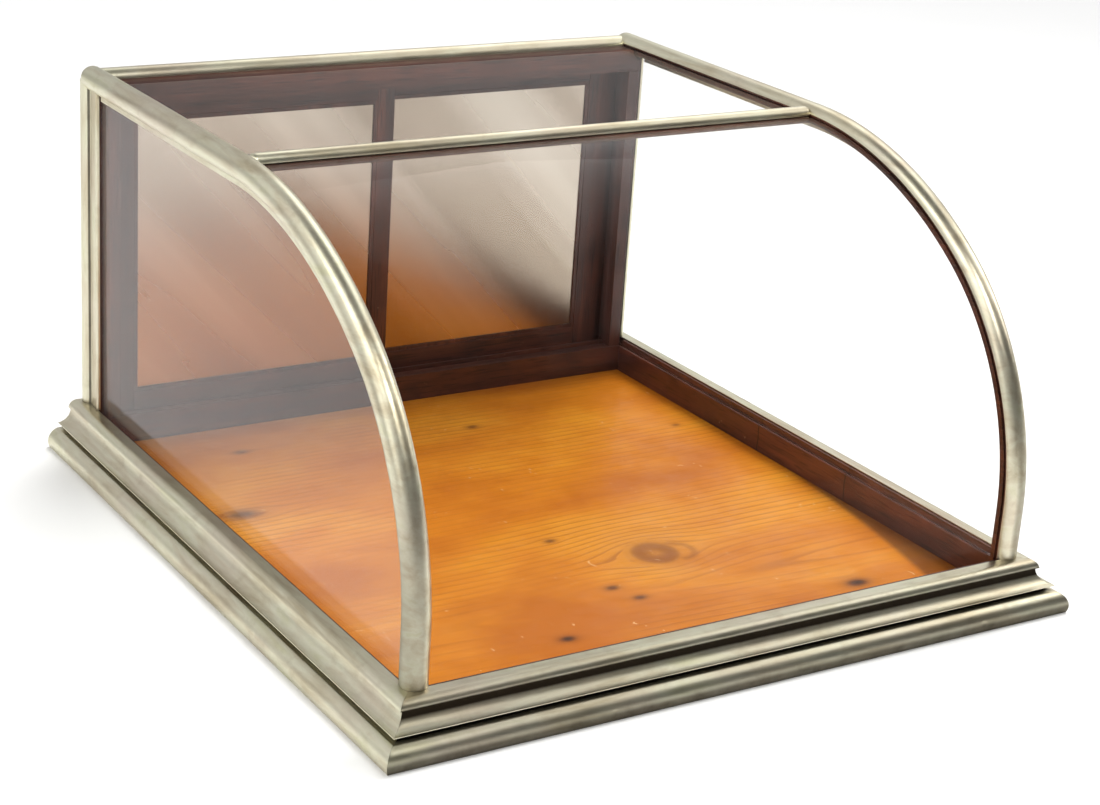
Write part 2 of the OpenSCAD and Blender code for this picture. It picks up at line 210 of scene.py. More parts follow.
# ---------------------------------------------------------------- material helpers

class Nodes:
    """A short way to write node trees."""

    def __init__(self, name):
        self.mat = bpy.data.materials.new(name)
        self.mat.use_nodes = True
        self.tree = self.mat.node_tree
        self.tree.nodes.clear()
        self.out = self.tree.nodes.new("ShaderNodeOutputMaterial")

    def add(self, kind, **props):
        n = self.tree.nodes.new(kind)
        for k, v in props.items():
            setattr(n, k, v)
        return n

    def link(self, a, b):
        self.tree.links.new(a, b)

    def put(self, socket, value):
        if hasattr(value, "is_output"):
            self.link(value, socket)
        else:
            socket.default_value = value

    def coords(self, scale=(1, 1, 1), move=(0, 0, 0), turn=(0, 0, 0)):
        tc = self.add("ShaderNodeTexCoord")
        mp = self.add("ShaderNodeMapping")
        mp.inputs["Scale"].default_value = scale
        mp.inputs["Location"].default_value = move
        mp.inputs["Rotation"].default_value = turn
        self.link(tc.outputs["Object"], mp.inputs["Vector"])
        return mp.outputs["Vector"]

    def noise(self, vector, scale, detail=4, rough=0.5, distort=0.0):
        n = self.add("ShaderNodeTexNoise")
        self.put(n.inputs["Vector"], vector)
        n.inputs["Scale"].default_value = scale
        n.inputs["Detail"].default_value = detail
        n.inputs["Roughness"].default_value = rough
        n.inputs["Distortion"].default_value = distort
        return n.outputs["Fac"]

    def voronoi(self, vector, scale):
        n = self.add("ShaderNodeTexVoronoi", feature="F1")
        self.put(n.inputs["Vector"], vector)
        n.inputs["Scale"].default_value = scale
        return n.outputs["Distance"]

    def ramp(self, value, *stops):
        n = self.add("ShaderNodeValToRGB")
        el = n.color_ramp.elements
        while len(el) < len(stops):
            el.new(0.5)
        for e, (p, c) in zip(el, stops):
            e.position = p
            e.color = (c, c, c, 1) if isinstance(c, (int, float)) else (*c, 1)
        self.put(n.inputs["Fac"], value)
        return n.outputs["Color"]

    def math(self, op, a, b=0.0, clamp=False):
        n = self.add("ShaderNodeMath", operation=op, use_clamp=clamp)
        self.put(n.inputs[0], a)
        self.put(n.inputs[1], b)
        return n.outputs[0]

    def remap(self, v, a0, a1, b0, b1):
        n = self.add("ShaderNodeMapRange", clamp=True)
        self.put(n.inputs["Value"], v)
        for k, x in (("From Min", a0), ("From Max", a1), ("To Min", b0), ("To Max", b1)):
            n.inputs[k].default_value = x
        return n.outputs["Result"]

    def mix(self, fac, a, b, blend="MIX"):
        n = self.add("ShaderNodeMix", data_type="RGBA", blend_type=blend)
        self.put(n.inputs[0], fac)
        self.put(n.inputs[6], a if hasattr(a, "is_output") else (*a, 1))
        self.put(n.inputs[7], b if hasattr(b, "is_output") else (*b, 1))
        return n.outputs[2]

    def bump(self, height, strength, distance, normal=None):
        n = self.add("ShaderNodeBump")
        n.inputs["Strength"].default_value = strength
        n.inputs["Distance"].default_value = distance
        self.put(n.inputs["Height"], height)
        if normal is not None:
            self.link(normal, n.inputs["Normal"])
        return n.outputs["Normal"]

    def attribute(self, name):
        return self.add("ShaderNodeAttribute", attribute_name=name).outputs["Fac"]

    def principled(self, **values):
        n = self.add("ShaderNodeBsdfPrincipled")
        for k, v in values.items():
            key = k.replace("_", " ")
            v = (*v, 1) if isinstance(v, tuple) and len(v) == 3 and "Color" in key else v
            self.put(n.inputs[key], v)
        return n.outputs["BSDF"]

    def finish(self, shader):
        self.link(shader, self.out.inputs["Surface"])
        return self.mat


def nickel(name, along):
    """Aged nickel silver: satin, streaked along its length between pinkish grey and olive."""
    m = Nodes(name)
    axis = "xyz".index(along)
    stretch = tuple(0.03 if i == axis else 1 for i in range(3))
    streaky = tuple(0.16 if i == axis else 1 for i in range(3))
    v = m.coords()
    lines = m.coords(stretch)
    streak = m.noise(m.coords(streaky), 62, 5, 0.6, 0.4)
    cloud = m.noise(v, 42, 5, 0.62, 0.2)
    patch = m.noise(v, 9, 3, 0.5)
    tint = m.ramp(streak, (0.34, (0.52, 0.455, 0.315)), (0.46, (0.63, 0.580, 0.430)),
                  (0.56, (0.70, 0.675, 0.520)), (0.70, (0.62, 0.600, 0.405)))
    pink = m.ramp(patch, (0.46, 0.0), (0.68, 0.5))
    tint = m.mix(pink, tint, (0.64, 0.545, 0.450))
    stain = m.ramp(cloud, (0.55, 0.0), (0.76, 0.35))
    tint = m.mix(stain, tint, (0.40, 0.335, 0.22))
    # Painted shade from a point attribute: it darkens the nickel nearly to black and roughens it
    # where the pieces give it.
    painted_shade = m.attribute("painted_shade")
    edge = m.math("ADD", painted_shade, m.math("MULTIPLY", m.math("SUBTRACT", cloud, 0.5), 0.22))
    dark = m.math("MULTIPLY", m.remap(edge, 0.05, 0.95, 0.0, 1.0),
                  m.remap(painted_shade, 0.0, 0.12, 0.0, 1.0))
    tint = m.mix(dark, tint, (0.030, 0.022, 0.014))
    scratch = m.noise(lines, 900, 3, 0.7)
    fine = m.noise(lines, 240, 4, 0.6)
    pit = m.ramp(m.voronoi(v, 70), (0.0, 0.0), (0.035, 1.0))
    worn = m.math("ADD", m.math("MULTIPLY", cloud, 0.55), m.math("MULTIPLY", scratch, 0.45))
    rough = m.remap(worn, 0.3, 0.7, 0.27, 0.41)
    rough = m.math("ADD", rough, m.math("MULTIPLY", painted_shade, 0.25), clamp=True)
    n1 = m.bump(scratch, 0.05, 0.00010)
    n2 = m.bump(fine, 0.07, 0.00025, n1)
    n3 = m.bump(pit, 0.12, 0.0003, n2)
    n4 = m.bump(m.noise(m.coords(streaky), 34, 2), 0.18, 0.0010, n3)
    return m.finish(m.principled(Base_Color=tint, Metallic=1.0, Roughness=rough, Normal=n4))


def mahogany(name, along, light=1.0, splits=()):
    """Dark red mahogany, thinly varnished; a light above 1 paints light onto a lighter copy; splits
    are places along Y of cracks across the grain.
    """
    m = Nodes(name)
    axis = "xyz".index(along)
    stretch = tuple(0.05 if i == axis else 1 for i in range(3))
    v = m.coords()
    g = m.coords(stretch)
    band = m.noise(g, 55, 5, 0.62, 0.6)
    pore = m.noise(g, 620, 2, 0.5)
    cloud = m.noise(v, 18, 4, 0.6)
    dark, mid, red = ((0.038, 0.0115, 0.0075), (0.078, 0.024, 0.0145), (0.150, 0.044, 0.024))
    # light scales every colour, so a value above 1 is painted light.
    dark, mid, red = (tuple(c * light for c in t) for t in (dark, mid, red))
    tint = m.ramp(band, (0.30, dark), (0.52, mid), (0.72, red))
    tint = m.mix(m.ramp(cloud, (0.45, 0.0), (0.75, 0.6)), tint, tuple(c * 0.5 for c in dark))
    pores = m.ramp(pore, (0.36, 1.0), (0.46, 0.0))
    tint = m.mix(m.math("MULTIPLY", pores, 0.6), tint, (0.010, 0.004, 0.003))
    scuff = m.ramp(m.noise(v, 210, 2, 0.5, 0.8), (0.745, 0.0), (0.765, 1.0))
    tint = m.mix(m.math("MULTIPLY", scuff, 0.45), tint, (0.42, 0.28, 0.18))
    if splits:
        sep = m.add("ShaderNodeSeparateXYZ")
        m.link(v, sep.inputs[0])
        shift = m.math("MULTIPLY", m.math("SUBTRACT", m.noise(v, 90, 2), 0.5), 0.004)
        at = m.math("ADD", sep.outputs["Y"], shift)
        for y in splits:
            gap = m.math("ABSOLUTE", m.math("SUBTRACT", at, y))
            tint = m.mix(m.remap(gap, 0.0004, 0.0011, 0.92, 0.0), tint, (0.006, 0.003, 0.002))
    rough = m.remap(cloud, 0.3, 0.7, 0.34, 0.55)
    n1 = m.bump(pore, 0.30, 0.0003)
    n2 = m.bump(band, 0.25, 0.0006, n1)
    return m.finish(m.principled(Base_Color=tint, Roughness=rough, Normal=n2,
                                 Coat_Weight=0.15, Coat_Roughness=0.25, Coat_IOR=1.5))


def pine():
    """Varnished pine: growth rings read from a smooth field on the mesh, knots with dark hearts."""
    m = Nodes("pine")
    v = m.coords()
    rings = m.attribute("rings")
    knot = m.attribute("knot")
    halo = m.attribute("halo")
    painted_wall_shade = m.attribute("painted_wall_shade")
    wobble = m.noise(m.coords((0.30, 1, 1)), 20, 4, 0.55)
    field = m.math("ADD", rings, m.math("MULTIPLY", wobble, 1.1))
    saw = m.math("FRACT", field)
    late = m.ramp(saw, (0.0, 0.02), (0.66, 0.12), (0.91, 1.0), (0.97, 0.75), (1.0, 0.02))
    fine = m.math("FRACT", m.math("MULTIPLY", field, 3.0))
    thin = m.ramp(fine, (0.55, 0.0), (0.85, 1.0), (1.0, 0.0))
    fibre = m.noise(m.coords((0.035, 1, 1)), 420, 3, 0.6)
    cloud = m.noise(m.coords((0.5, 1, 1)), 6, 4, 0.6)
    early = m.ramp(cloud, (0.38, (0.46, 0.125, 0.007)), (0.50, (0.59, 0.190, 0.010)),
                   (0.62, (0.70, 0.275, 0.020)))
    strength = m.remap(m.noise(m.coords((0.5, 1, 1)), 7, 2), 0.38, 0.64, 0.10, 0.62)
    tint = m.mix(m.math("MULTIPLY", late, strength), early, (0.27, 0.062, 0.006))
    tint = m.mix(m.math("MULTIPLY", thin, 0.06), tint, (0.38, 0.110, 0.012))
    tint = m.mix(m.remap(fibre, 0.42, 0.70, 0.0, 0.26), tint, (0.40, 0.125, 0.016))
    tint = m.mix(m.math("MULTIPLY", halo, 0.85), tint, (0.185, 0.050, 0.012))
    core = m.ramp(m.noise(v, 160, 3), (0.3, (0.018, 0.009, 0.008)), (0.7, (0.085, 0.028, 0.014)))
    tint = m.mix(knot, tint, core)
    scuff = m.ramp(m.noise(m.coords((1, 0.5, 1)), 150, 2, 0.5, 1.2), (0.735, 0.0), (0.75, 1.0))
    tint = m.mix(m.math("MULTIPLY", scuff, 0.5), tint, (0.80, 0.58, 0.33))
    # Painted shade along the walls of the case, widest by the right rail.
    tint = m.mix(m.math("MULTIPLY", painted_wall_shade, 0.72), tint, (0.085, 0.026, 0.009))
    rough = m.remap(m.noise(v, 45, 4), 0.3, 0.7, 0.34, 0.52)
    n1 = m.bump(fibre, 0.25, 0.0003)
    n2 = m.bump(late, 0.12, 0.0003, n1)
    return m.finish(m.principled(Base_Color=tint, Roughness=rough, Normal=n2,
                                 Specular_IOR_Level=0.22, Coat_Weight=0.05, Coat_Roughness=0.16,
                                 Coat_IOR=1.5))


def clear_glass(name, clear_share, ior):
    """Old glass, hardly tinted; a share below 1 leaves a film of dust on it."""
    m = Nodes(name)
    v = m.coords()
    wave = m.bump(m.noise(v, 5, 2), 0.08, 0.002)
    smear = m.noise(m.coords((1, 1, 0.4)), 24, 4, 0.6)
    tint = m.mix(m.remap(smear, 0.3, 0.7, 0.0, 1.0), (0.982, 0.992, 0.986), (0.992, 0.990, 0.986))
    pane = m.principled(Base_Color=tint, Roughness=0.0, Normal=wave)
    pane.node.inputs["IOR"].default_value = ior
    pane.node.inputs["Transmission Weight"].default_value = clear_share
    clear = m.add("ShaderNodeBsdfTransparent")
    clear.inputs["Color"].default_value = (0.965, 0.97, 0.965, 1)
    path = m.add("ShaderNodeLightPath")
    mix = m.add("ShaderNodeMixShader")
    m.link(path.outputs["Is Shadow Ray"], mix.inputs[0])
    m.link(pane, mix.inputs[1])
    m.link(clear.outputs[0], mix.inputs[2])
    return m.finish(mix.outputs[0])


def mirror():
    """Old silvering, soft and warm, with a painted reflection: slanting bands of warm brown and
    pale tint.
    """
    m = Nodes("mirror")
    slant = m.coords((1, 1, 1), turn=(0, math.radians(42), 0))
    band_stretch = m.add("ShaderNodeMapping")
    band_stretch.inputs["Scale"].default_value = (1.0, 1.0, 0.06)
    m.link(slant, band_stretch.inputs["Vector"])
    bands = m.noise(band_stretch.outputs["Vector"], 11, 3, 0.45)
    painted_reflection_band = m.ramp(bands, (0.38, 0.0), (0.62, 1.0))
    # Painted reflection: the bands swing the tint between warm brown and pale.
    tint = m.mix(painted_reflection_band, (0.42, 0.345, 0.275), (0.66, 0.585, 0.50))
    rough = m.remap(painted_reflection_band, 0.0, 1.0, 0.24, 0.30)
    return m.finish(m.principled(Base_Color=tint, Metallic=1.0, Roughness=rough))


def pale_floor():
    """Matt paper that the case stands on."""
    m = Nodes("studio_floor")
    speck = m.noise(m.coords(), 3, 3)
    tint = m.mix(speck, (0.86, 0.86, 0.86), (0.88, 0.88, 0.88))
    return m.finish(m.principled(Base_Color=tint, Roughness=0.6))


NICKEL = {a: nickel("nickel_" + a, a) for a in "xyz"}
WOOD = {a: mahogany("mahogany_" + a, a) for a in "xyz"}
# The right base rail: cracks across the grain, and colours 1.25 times lighter as painted light.
SPLIT_PAINTED_LIGHT_WOOD = mahogany("mahogany_split_painted_light", "y", 1.25, (0.052, -0.089))
PINE = pine()
GLASS = clear_glass("glass", 1.0, 1.1)
DUSTY = clear_glass("glass_dusty", 0.98, 1.18)
FILMED = clear_glass("glass_filmed", 0.995, 1.05)
MIRROR = mirror()


def set_attribute(ob, name, values):
    """Stores one number per point of the mesh."""
    at = ob.data.attributes.new(name, "FLOAT", "POINT")
    at.data.foreach_set("value", np.asarray(values, np.float32))


def painted_shade_by(ob, rule):
    """Painted shade on the nickel, from 0 to 1, by a rule on the place."""
    set_attribute(ob, "painted_shade", [min(max(rule(v.co), 0.0), 1.0) for v in ob.data.vertices])


# Nickel with no painted shade.
def no_painted_shade(place_):
    return 0.0


# ---------------------------------------------------------------- nickel base moulding

# Outline: projection from the posts' faces, and height; the sheet's outer and inner face
TORUS_C, TORUS_R = (19.5, 6), 13.6
COVE_C, COVE_R = (23.5, 38.5), 14.2
NOSE_C, NOSE_R = (3.4, 37.6), 8.4
OUTER = (arc(TORUS_C, TORUS_R, -26.18, 77, 26) + pts((17, 19.2), (17, 23.6), (22.6, 23.6))
         + arc(COVE_C, COVE_R, -94, -180, 22) + arc(NOSE_C, NOSE_R, 6, 90, 18) + pts((-5, 46)))
INNER = (pts((-5, 44.8), (3.4, 44.8), (10.2, 39.8))
         + arc(COVE_C, COVE_R + SHEET / MM, -180, -117, 9)
         + pts((15.8, 18.1), (22.3, 18.1), (29, 14), (31.9, 6), (30.4, 0)))


def along_front(p, z, t):
    """A point of the front moulding's outline, mitred at both ends."""
    return Vector(((2 * t - 1) * (HALF_W + p), FRONT_Y - p, z))


def along_side(sign):
    """The same for the side moulding at x of that sign, mitred at the front."""
    def at(p, z, t):
        y0 = FRONT_Y - p
        return Vector((sign * (HALF_W + p), y0 + (REAR_Y - y0) * t, z))
    return at


def ease(x, a, b):
    """0 at a, 1 at b, smooth between; a may be the larger."""
    t = min(max((x - a) / (b - a), 0.0), 1.0)
    return t * t * (3 - 2 * t)


def painted_shade_at(p, z, strength):
    """Painted shade on the moulding at a point of its profile, millimetres: the groove, the hollow
    under the nose and the torus's lower side.
    """
    if z < 18:
        return strength * 0.8 * ease(z, 13.0, 5.5)
    if z < 24 and p < 18.5:
        return 1.0 if strength > 0.5 else 0.45
    if p < 14 and z < 40.5:
        return strength * ease(z, 29.5, 33.0) * ease(z, 40.5, 38.6)
    return 0.0


def moulding(name, at, count, dings, seed, strength):
    """One run of the base moulding's sheet, with painted shade by its outline."""
    loop = OUTER + INNER
    rings = [[at(p, z, k / count) for p, z in loop] for k in range(count + 1)]
    ob = rings_object(name, rings)
    n = len(loop)
    # Painted shade by the outline: the groove black, the hollow under the nose and the torus's
    # lower side dark.
    dark = [painted_shade_at(p / MM, z / MM, strength) for p, z in loop]
    wander(ob, 0.22, 38, seed, dings)
    set_attribute(ob, "painted_shade", [dark[i % n] for i in range(len(ob.data.vertices))])
    shade(ob, 30)
    return ob


# Dings: place, radius and depth (millimetres)
FRONT_DINGS = [(Vector((0.2435, FRONT_Y - 0.0325, 0.008)), 3.4, 0.7),
               (Vector((0.2300, FRONT_Y - 0.0300, 0.0135)), 2.2, 0.5),
               (Vector((0.0900, FRONT_Y - 0.0310, 0.0110)), 2.6, 0.4),
               (Vector((-0.1400, FRONT_Y - 0.0325, 0.0080)), 3.0, 0.4)]
SIDE_DINGS = [(Vector((-HALF_W - 0.0325, -0.12, 0.0085)), 4.0, 0.6),
              (Vector((-HALF_W - 0.0300, 0.14, 0.0130)), 3.0, 0.5)]
# The painted shade is strongest on the front run and weakest on the left run.
place(moulding("base_front", along_front, 420, FRONT_DINGS, 1.0, 1.0), "case", "nickel",
      NICKEL["x"], "base_moulding_front")
place(moulding("base_left", along_side(-1), 420, SIDE_DINGS, 2.0, 0.12), "case", "nickel",
      NICKEL["y"], "base_moulding_left")
place(moulding("base_right", along_side(1), 420, [], 3.0, 0.6), "case", "nickel", NICKEL["y"],
      "base_moulding_right")


# ---------------------------------------------------------------- nickel rails

def bend_path(y_start, z_end, step=4 * MM):
    """The rail's centre line and the outward direction along it, from y_start down to z_end."""
    out = []
    n = max(int((y_start - BEND_Y) / step), 0)
    for i in range(n):
        out.append((y_start - (y_start - BEND_Y) * i / n, RAIL_Z, 0.0))
    n = int(TOP_R * SPLIT / step)
    for i in range(n):
        a = SPLIT * i / n
        out.append((TOP_C[0] - TOP_R * math.sin(a), TOP_C[1] + TOP_R * math.cos(a), a))
    n = int(LOW_R * (math.pi / 2 - SPLIT) / step)
    for i in range(n):
        a = SPLIT + (math.pi / 2 - SPLIT) * i / n
        out.append((LOW_C[0] - LOW_R * math.sin(a), LOW_C[1] + LOW_R * math.cos(a), a))
    n = int((FOOT_Z - z_end) / step)
    for i in range(n + 1):
        out.append((FOOT_Y, FOOT_Z - (FOOT_Z - z_end) * i / n, math.pi / 2))
    return out


def on_path(place_, across, out, sign):
    """A point of a section (across, out) at a place of the rail's path."""
    y, z, a = place_
    return Vector((sign * (RAIL_X + across), y - out * math.sin(a), z + out * math.cos(a)))


# The rail's sheet in section, in millimetres: open on the inner lower side, plain or with a lip
R = RAIL_R / MM
SHEET_MM = SHEET / MM
NOTCH = 3.2
OUTER_ENDS = (-math.degrees(math.acos(NOTCH / R)), 180 - math.degrees(math.asin(NOTCH / R)))
INNER_R = R - SHEET_MM
INNER_ENDS = (180 - math.degrees(math.asin(NOTCH / INNER_R)),
              -math.degrees(math.acos(NOTCH / INNER_R)))
INSIDE = arc((0, 0), INNER_R, *INNER_ENDS, 20)
SECTION = arc((0, 0), R, *OUTER_ENDS, 56) + INSIDE
LIP_IN, LIP_OUT, LIP_LOW = 3.4, 5.4, -14.5
LIPPED = (pts((LIP_IN, -9.6), (LIP_IN, LIP_LOW), (LIP_OUT, LIP_LOW))
          + arc((0, 0), R, -math.degrees(math.acos(LIP_OUT / R)), OUTER_ENDS[1], 54) + INSIDE)


def rail(name, sign, path, section, seed):
    """A length of side rail, with painted shade low down on its inner side."""
    rings = [[on_path(q, u, w, sign) for u, w in section] for q in path]
    ob = rings_object(name, rings)
    wander(ob, 0.12, 30, seed)
    painted_shade_by(ob, lambda c: 0.45 * ease(c.z, 0.26, 0.10) * ease(sign * c.x, RAIL_X - 0.006, RAIL_X))
    shade(ob, 35)
    return ob


def straight_path(y0, y1, step=4 * MM):
    n = max(int(abs(y0 - y1) / step), 1)
    return [(y0 + (y1 - y0) * i / n, RAIL_Z, 0.0) for i in range(n + 1)]


def join(obs, name):
    """Makes one piece of several."""
    for o in bpy.context.selected_objects:
        o.select_set(False)
    for o in obs:
        o.select_set(True)
    bpy.context.view_layer.objects.active = obs[0]
    bpy.ops.object.join()
    obs[0].name = name
    return obs[0]


def domed_end(name, sign, seed):
    """The full-round rear end of a side rail, closed by a dome."""
    end_y = REAR_Y - RAIL_R
    n = 72
    rings = []
    inner = RAIL_R - SHEET
    prof = [(GLASS_REAR_Y, inner), (GLASS_REAR_Y, RAIL_R)]
    prof += [(GLASS_REAR_Y + (end_y - GLASS_REAR_Y) * i / 4, RAIL_R) for i in range(1, 5)]
    prof += [(end_y + RAIL_R * math.sin(math.radians(a)), RAIL_R * math.cos(math.radians(a)))
             for a in range(6, 88, 6)]
    for y, r in prof:
        rings.append([Vector((sign * RAIL_X + r * math.cos(2 * math.pi * j / n), y,
                              RAIL_Z + r * math.sin(2 * math.pi * j / n))) for j in range(n)])
    ob = rings_object(name, rings)
    wander(ob, 0.10, 25, seed)
    painted_shade_by(ob, no_painted_shade)
    shade(ob, 50)
    return ob


for sign, side in ((-1, "left"), (1, "right")):
    a = rail("rail_a_" + side, sign, straight_path(FRAME_Y, BEND_Y), LIPPED, 4 + sign)
    b = rail("rail_b_" + side, sign, straight_path(GLASS_REAR_Y, FRAME_Y), SECTION, 4 + sign)
    c = domed_end("rail_c_" + side, sign, 6 + sign)
    place(join([a, b, c], "rail_top_" + side), "case", "nickel", NICKEL["y"], "side_rail_" + side)
    c = rail("rail_bent_" + side, sign, bend_path(BEND_Y, BASE_H), LIPPED, 8 + sign)
    place(c, "case", "nickel", NICKEL["y"], "bent_rail_" + side)


def half_round_loop(r, y, z):
    """Sheet bent over a half-round, as (y, z) points."""
    return (arc((y / MM, z / MM), r, 180, 0, 30)
            + arc((y / MM, z / MM), r - SHEET_MM, 0, 180, 12))


def bar(name, loop, x0, x1, step, seed):
    """A straight rail from x0 to x1."""
    n = int((x1 - x0) / step)
    rings = [[Vector((x0 + (x1 - x0) * k / n, y, z)) for y, z in loop] for k in range(n + 1)]
    ob = rings_object(name, rings)
    wander(ob, 0.12, 34, seed)
    painted_shade_by(ob, no_painted_shade)
    shade(ob, 35)
    return ob


TOP_LO, TOP_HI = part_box("rear_top_rail")
TOP_ROUND_R = 10.4
ob = bar("rail_rear", half_round_loop(TOP_ROUND_R, TOP_HI.y - TOP_ROUND_R * MM, TOP_LO.z),
         -RAIL_X + 5 * MM, RAIL_X - 5 * MM, 4 * MM, 12)
place(ob, "case", "nickel", NICKEL["x"], "rear_top_rail")
ob = cad_copy("cross_rail", 0.3)
painted_shade_by(ob, no_painted_shade)
place(ob, "case", "nickel", NICKEL["x"], "cross_rail")


# ---------------------------------------------------------------- nickel corner posts

# Plan outline: outward from the post's face, and forward from the rear plane
POST = (pts((-24, 4), (-24, 0.8), (-23, 0)) + arc((-8.5, 8.5), 8.5, -90, 54, 26)
        + [((-4.2 + 0.7 - 0.7 * i / 12 - 1.4 * math.sin(math.pi * i / 12)) * MM,
            (15.4 + 9.6 * i / 12) * MM) for i in range(13)]
        + pts((-4.2, 33.6)) + arc((-5.7, 35.8), 2.2, -40, 90, 12) + pts((-7, 38), (-7, 4)))
for sign, side in ((-1, "left"), (1, "right")):
    lo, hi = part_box("corner_post_" + side)
    n = 90
    rings = [[Vector((sign * (HALF_W + p), REAR_Y - u, lo.z + (hi.z - lo.z) * k / n))
              for p, u in POST] for k in range(n + 1)]
    ob = rings_object("post_" + side, rings)
    wander(ob, 0.12, 30, 14 + sign)
    # Painted shade in the post's cove and along its foot.
    painted_shade_by(ob, lambda c: 0.75 if 16 * MM < REAR_Y - c.y < 19 * MM else
             (0.6 if c.z < lo.z + 2 * MM else 0.0))
    shade(ob, 35)
    place(ob, "case", "nickel", NICKEL["z"], "corner_post_" + side)


# ---------------------------------------------------------------- wood

# CAD shapes shown with eased edges, by the way their grain runs
EASED = {"x": ("base_rail_front", "rear_sill", "head_rail", "floor_batten",
               "moulding_core_front", "cross_core",
               "left_door_top_rail", "left_door_bottom_rail", "right_door_top_rail",
               "right_door_bottom_rail"),
         "y": ("base_rail_left", "base_rail_right", "floor_cleat_left", "floor_cleat_right",
               "moulding_core_left", "moulding_core_right", "rail_core_left", "rail_core_right"),
         "z": ("rear_jamb_left", "rear_jamb_right", "left_door_outer_stile",
               "left_door_meeting_stile", "right_door_outer_stile", "right_door_meeting_stile",
               "left_door_backing", "right_door_backing", "left_door_bead", "right_door_bead")}
for axis, names in EASED.items():
    for node in names:
        width = 0.35 if "core" in node or "bead" in node else 0.8
        wood = SPLIT_PAINTED_LIGHT_WOOD if node == "base_rail_right" else WOOD[axis]
        place(cad_copy(node, width), body_name(node), "mahogany", wood, node)


# ---------------------------------------------------------------- pine floor

# Knots: place, radius (all in millimetres) and how dark the heart is
KNOTS = [(57, -119, 25, 0.0), (-18, -58, 4, 0.6), (-20, -166, 5, 0.8), (-8, -192, 5, 0.8),
         (-109, -235, 6, 1.0), (190, -246, 9, 1.0), (-247, 107, 12, 0.7), (59, 220, 4.5, 0.5),
         (260, 144, 3, 0.4), (-185, 247, 5, 0.5)]
BIG_KNOT = 20
RING_GAP = 9.0
ARCH_STEP = 115.0


def ring_field(x, y):
    """Growth rings on the board's face, one per whole number, from places in millimetres."""
    bend = 5 * np.sin(x / 90.0)
    depth = 7 + (x - 25) / ARCH_STEP
    upper = np.sqrt(depth ** 2 + ((y - 126 - bend) / RING_GAP) ** 2)
    depth = np.maximum(4 - (x + 142) / (1.3 * ARCH_STEP), 0.6)
    lower = 35.7 - np.sqrt(depth ** 2 + ((y + 179 + 0.5 * bend) / RING_GAP) ** 2)
    k = 1.2
    return -k * np.log(np.exp(-upper / k) + np.exp(-lower / k))


def board_mesh(name, step):
    """The board as a fine grid on top, with a plain rim and underside; a hair inside the CAD's."""
    x0, y0, x1, y1 = FLOOR_LO.x + MM, FLOOR_LO.y + MM, FLOOR_HI.x - MM, FLOOR_HI.y - MM
    nx, ny = int((x1 - x0) / step), int((y1 - y0) / step)
    row = nx + 1
    verts = [(x0 + (x1 - x0) * i / nx, y0 + (y1 - y0) * j / ny, FLOOR_HI.z)
             for j in range(ny + 1) for i in range(row)]
    faces = [(a, a + 1, a + row + 1, a + row)
             for j in range(ny) for a in range(j * row, j * row + nx)]
    rim = (list(range(nx)) + [j * row + nx for j in range(ny)]
           + [ny * row + i for i in range(nx, 0, -1)] + [j * row for j in range(ny, 0, -1)])
    m = len(verts)
    verts += [(verts[k][0], verts[k][1], FLOOR_LO.z) for k in rim]
    for k, a in enumerate(rim):
        b = (k + 1) % len(rim)
        faces.append((a, rim[b], m + b, m + k))
    faces.append(tuple(m + k for k in reversed(range(len(rim)))))
    ob = new_object(name, verts, faces)
    fix_normals(ob)
    return ob, np.array(verts) / MM


def knotty_figure(x, y):
    """Rings pushed aside by the knots, the knots' dark hearts, and the reddish halo round each."""
    rings = ring_field(x, y)
    knot = np.zeros(len(x))
    halo = np.zeros(len(x))
    for cx, cy, r, heart in KNOTS:
        wide = 1.0 if r > BIG_KNOT else 0.62
        d = np.hypot((x - cx) * wide, y - cy)
        push = 0.11 * r * np.exp(-(d / (1.9 * r)) ** 2)
        rings = rings + np.tanh((y - cy) / (0.6 * r)) * push
        if r > BIG_KNOT:
            inside = np.clip(1.15 - d / r, 0, 1) ** 0.5
            rings = rings * (1 - inside) + (d / 5.0) * inside
            heart_glow = 1 - 0.5 * np.exp(-(d / (0.30 * r)) ** 2)
            halo = np.maximum(halo, 0.88 * heart_glow / (1 + np.exp((d - 0.92 * r) / 1.6)))
            crescent = np.exp(-((np.hypot(x - cx - 20, y - cy + 4) - 17) / 5.0) ** 2)
            halo = np.maximum(halo, 0.6 * crescent * (x > cx + 16))
            halo = np.maximum(halo, 0.30 * np.exp(-(d / (1.7 * r)) ** 2))
        else:
            knot = np.maximum(knot, heart / (1 + np.exp((d - 0.62 * r) / (0.16 * r))))
            halo = np.maximum(halo, 0.8 * np.exp(-(d / (1.25 * r)) ** 2))
    return rings, knot, halo


def floor_painted_shade(x, y):
    """Painted shade along the walls: by the right rail a painted shadow strip that widens to the
    front, elsewhere thin.
    """
    width = 38 * (np.clip(60 - y, 0, 400) / 315) ** 1.88
    curb = np.clip((x - (FLOOR_HI.x / MM - width)) / 7.0 + 0.5, 0, 1)
    rear = np.clip((y - 280) / 26.0, 0, 1) * 0.45
    left = np.clip((-284 - x) / 10.0, 0, 1) * 0.25
    return np.maximum(np.maximum(curb, rear), left)


def floor_board():
    ob, co = board_mesh("floor_shown", 2.4 * MM)
    x, y = co[:, 0], co[:, 1]
    rings, knot, halo = knotty_figure(x, y)
    for name, values in (("rings", rings), ("knot", knot), ("halo", halo),
                         ("painted_wall_shade", floor_painted_shade(x, y))):
        set_attribute(ob, name, values)
    shade(ob, 40)
    return ob


place(floor_board(), "case", "pine", PINE, "floor_board")


# ---------------------------------------------------------------- glass and mirrors

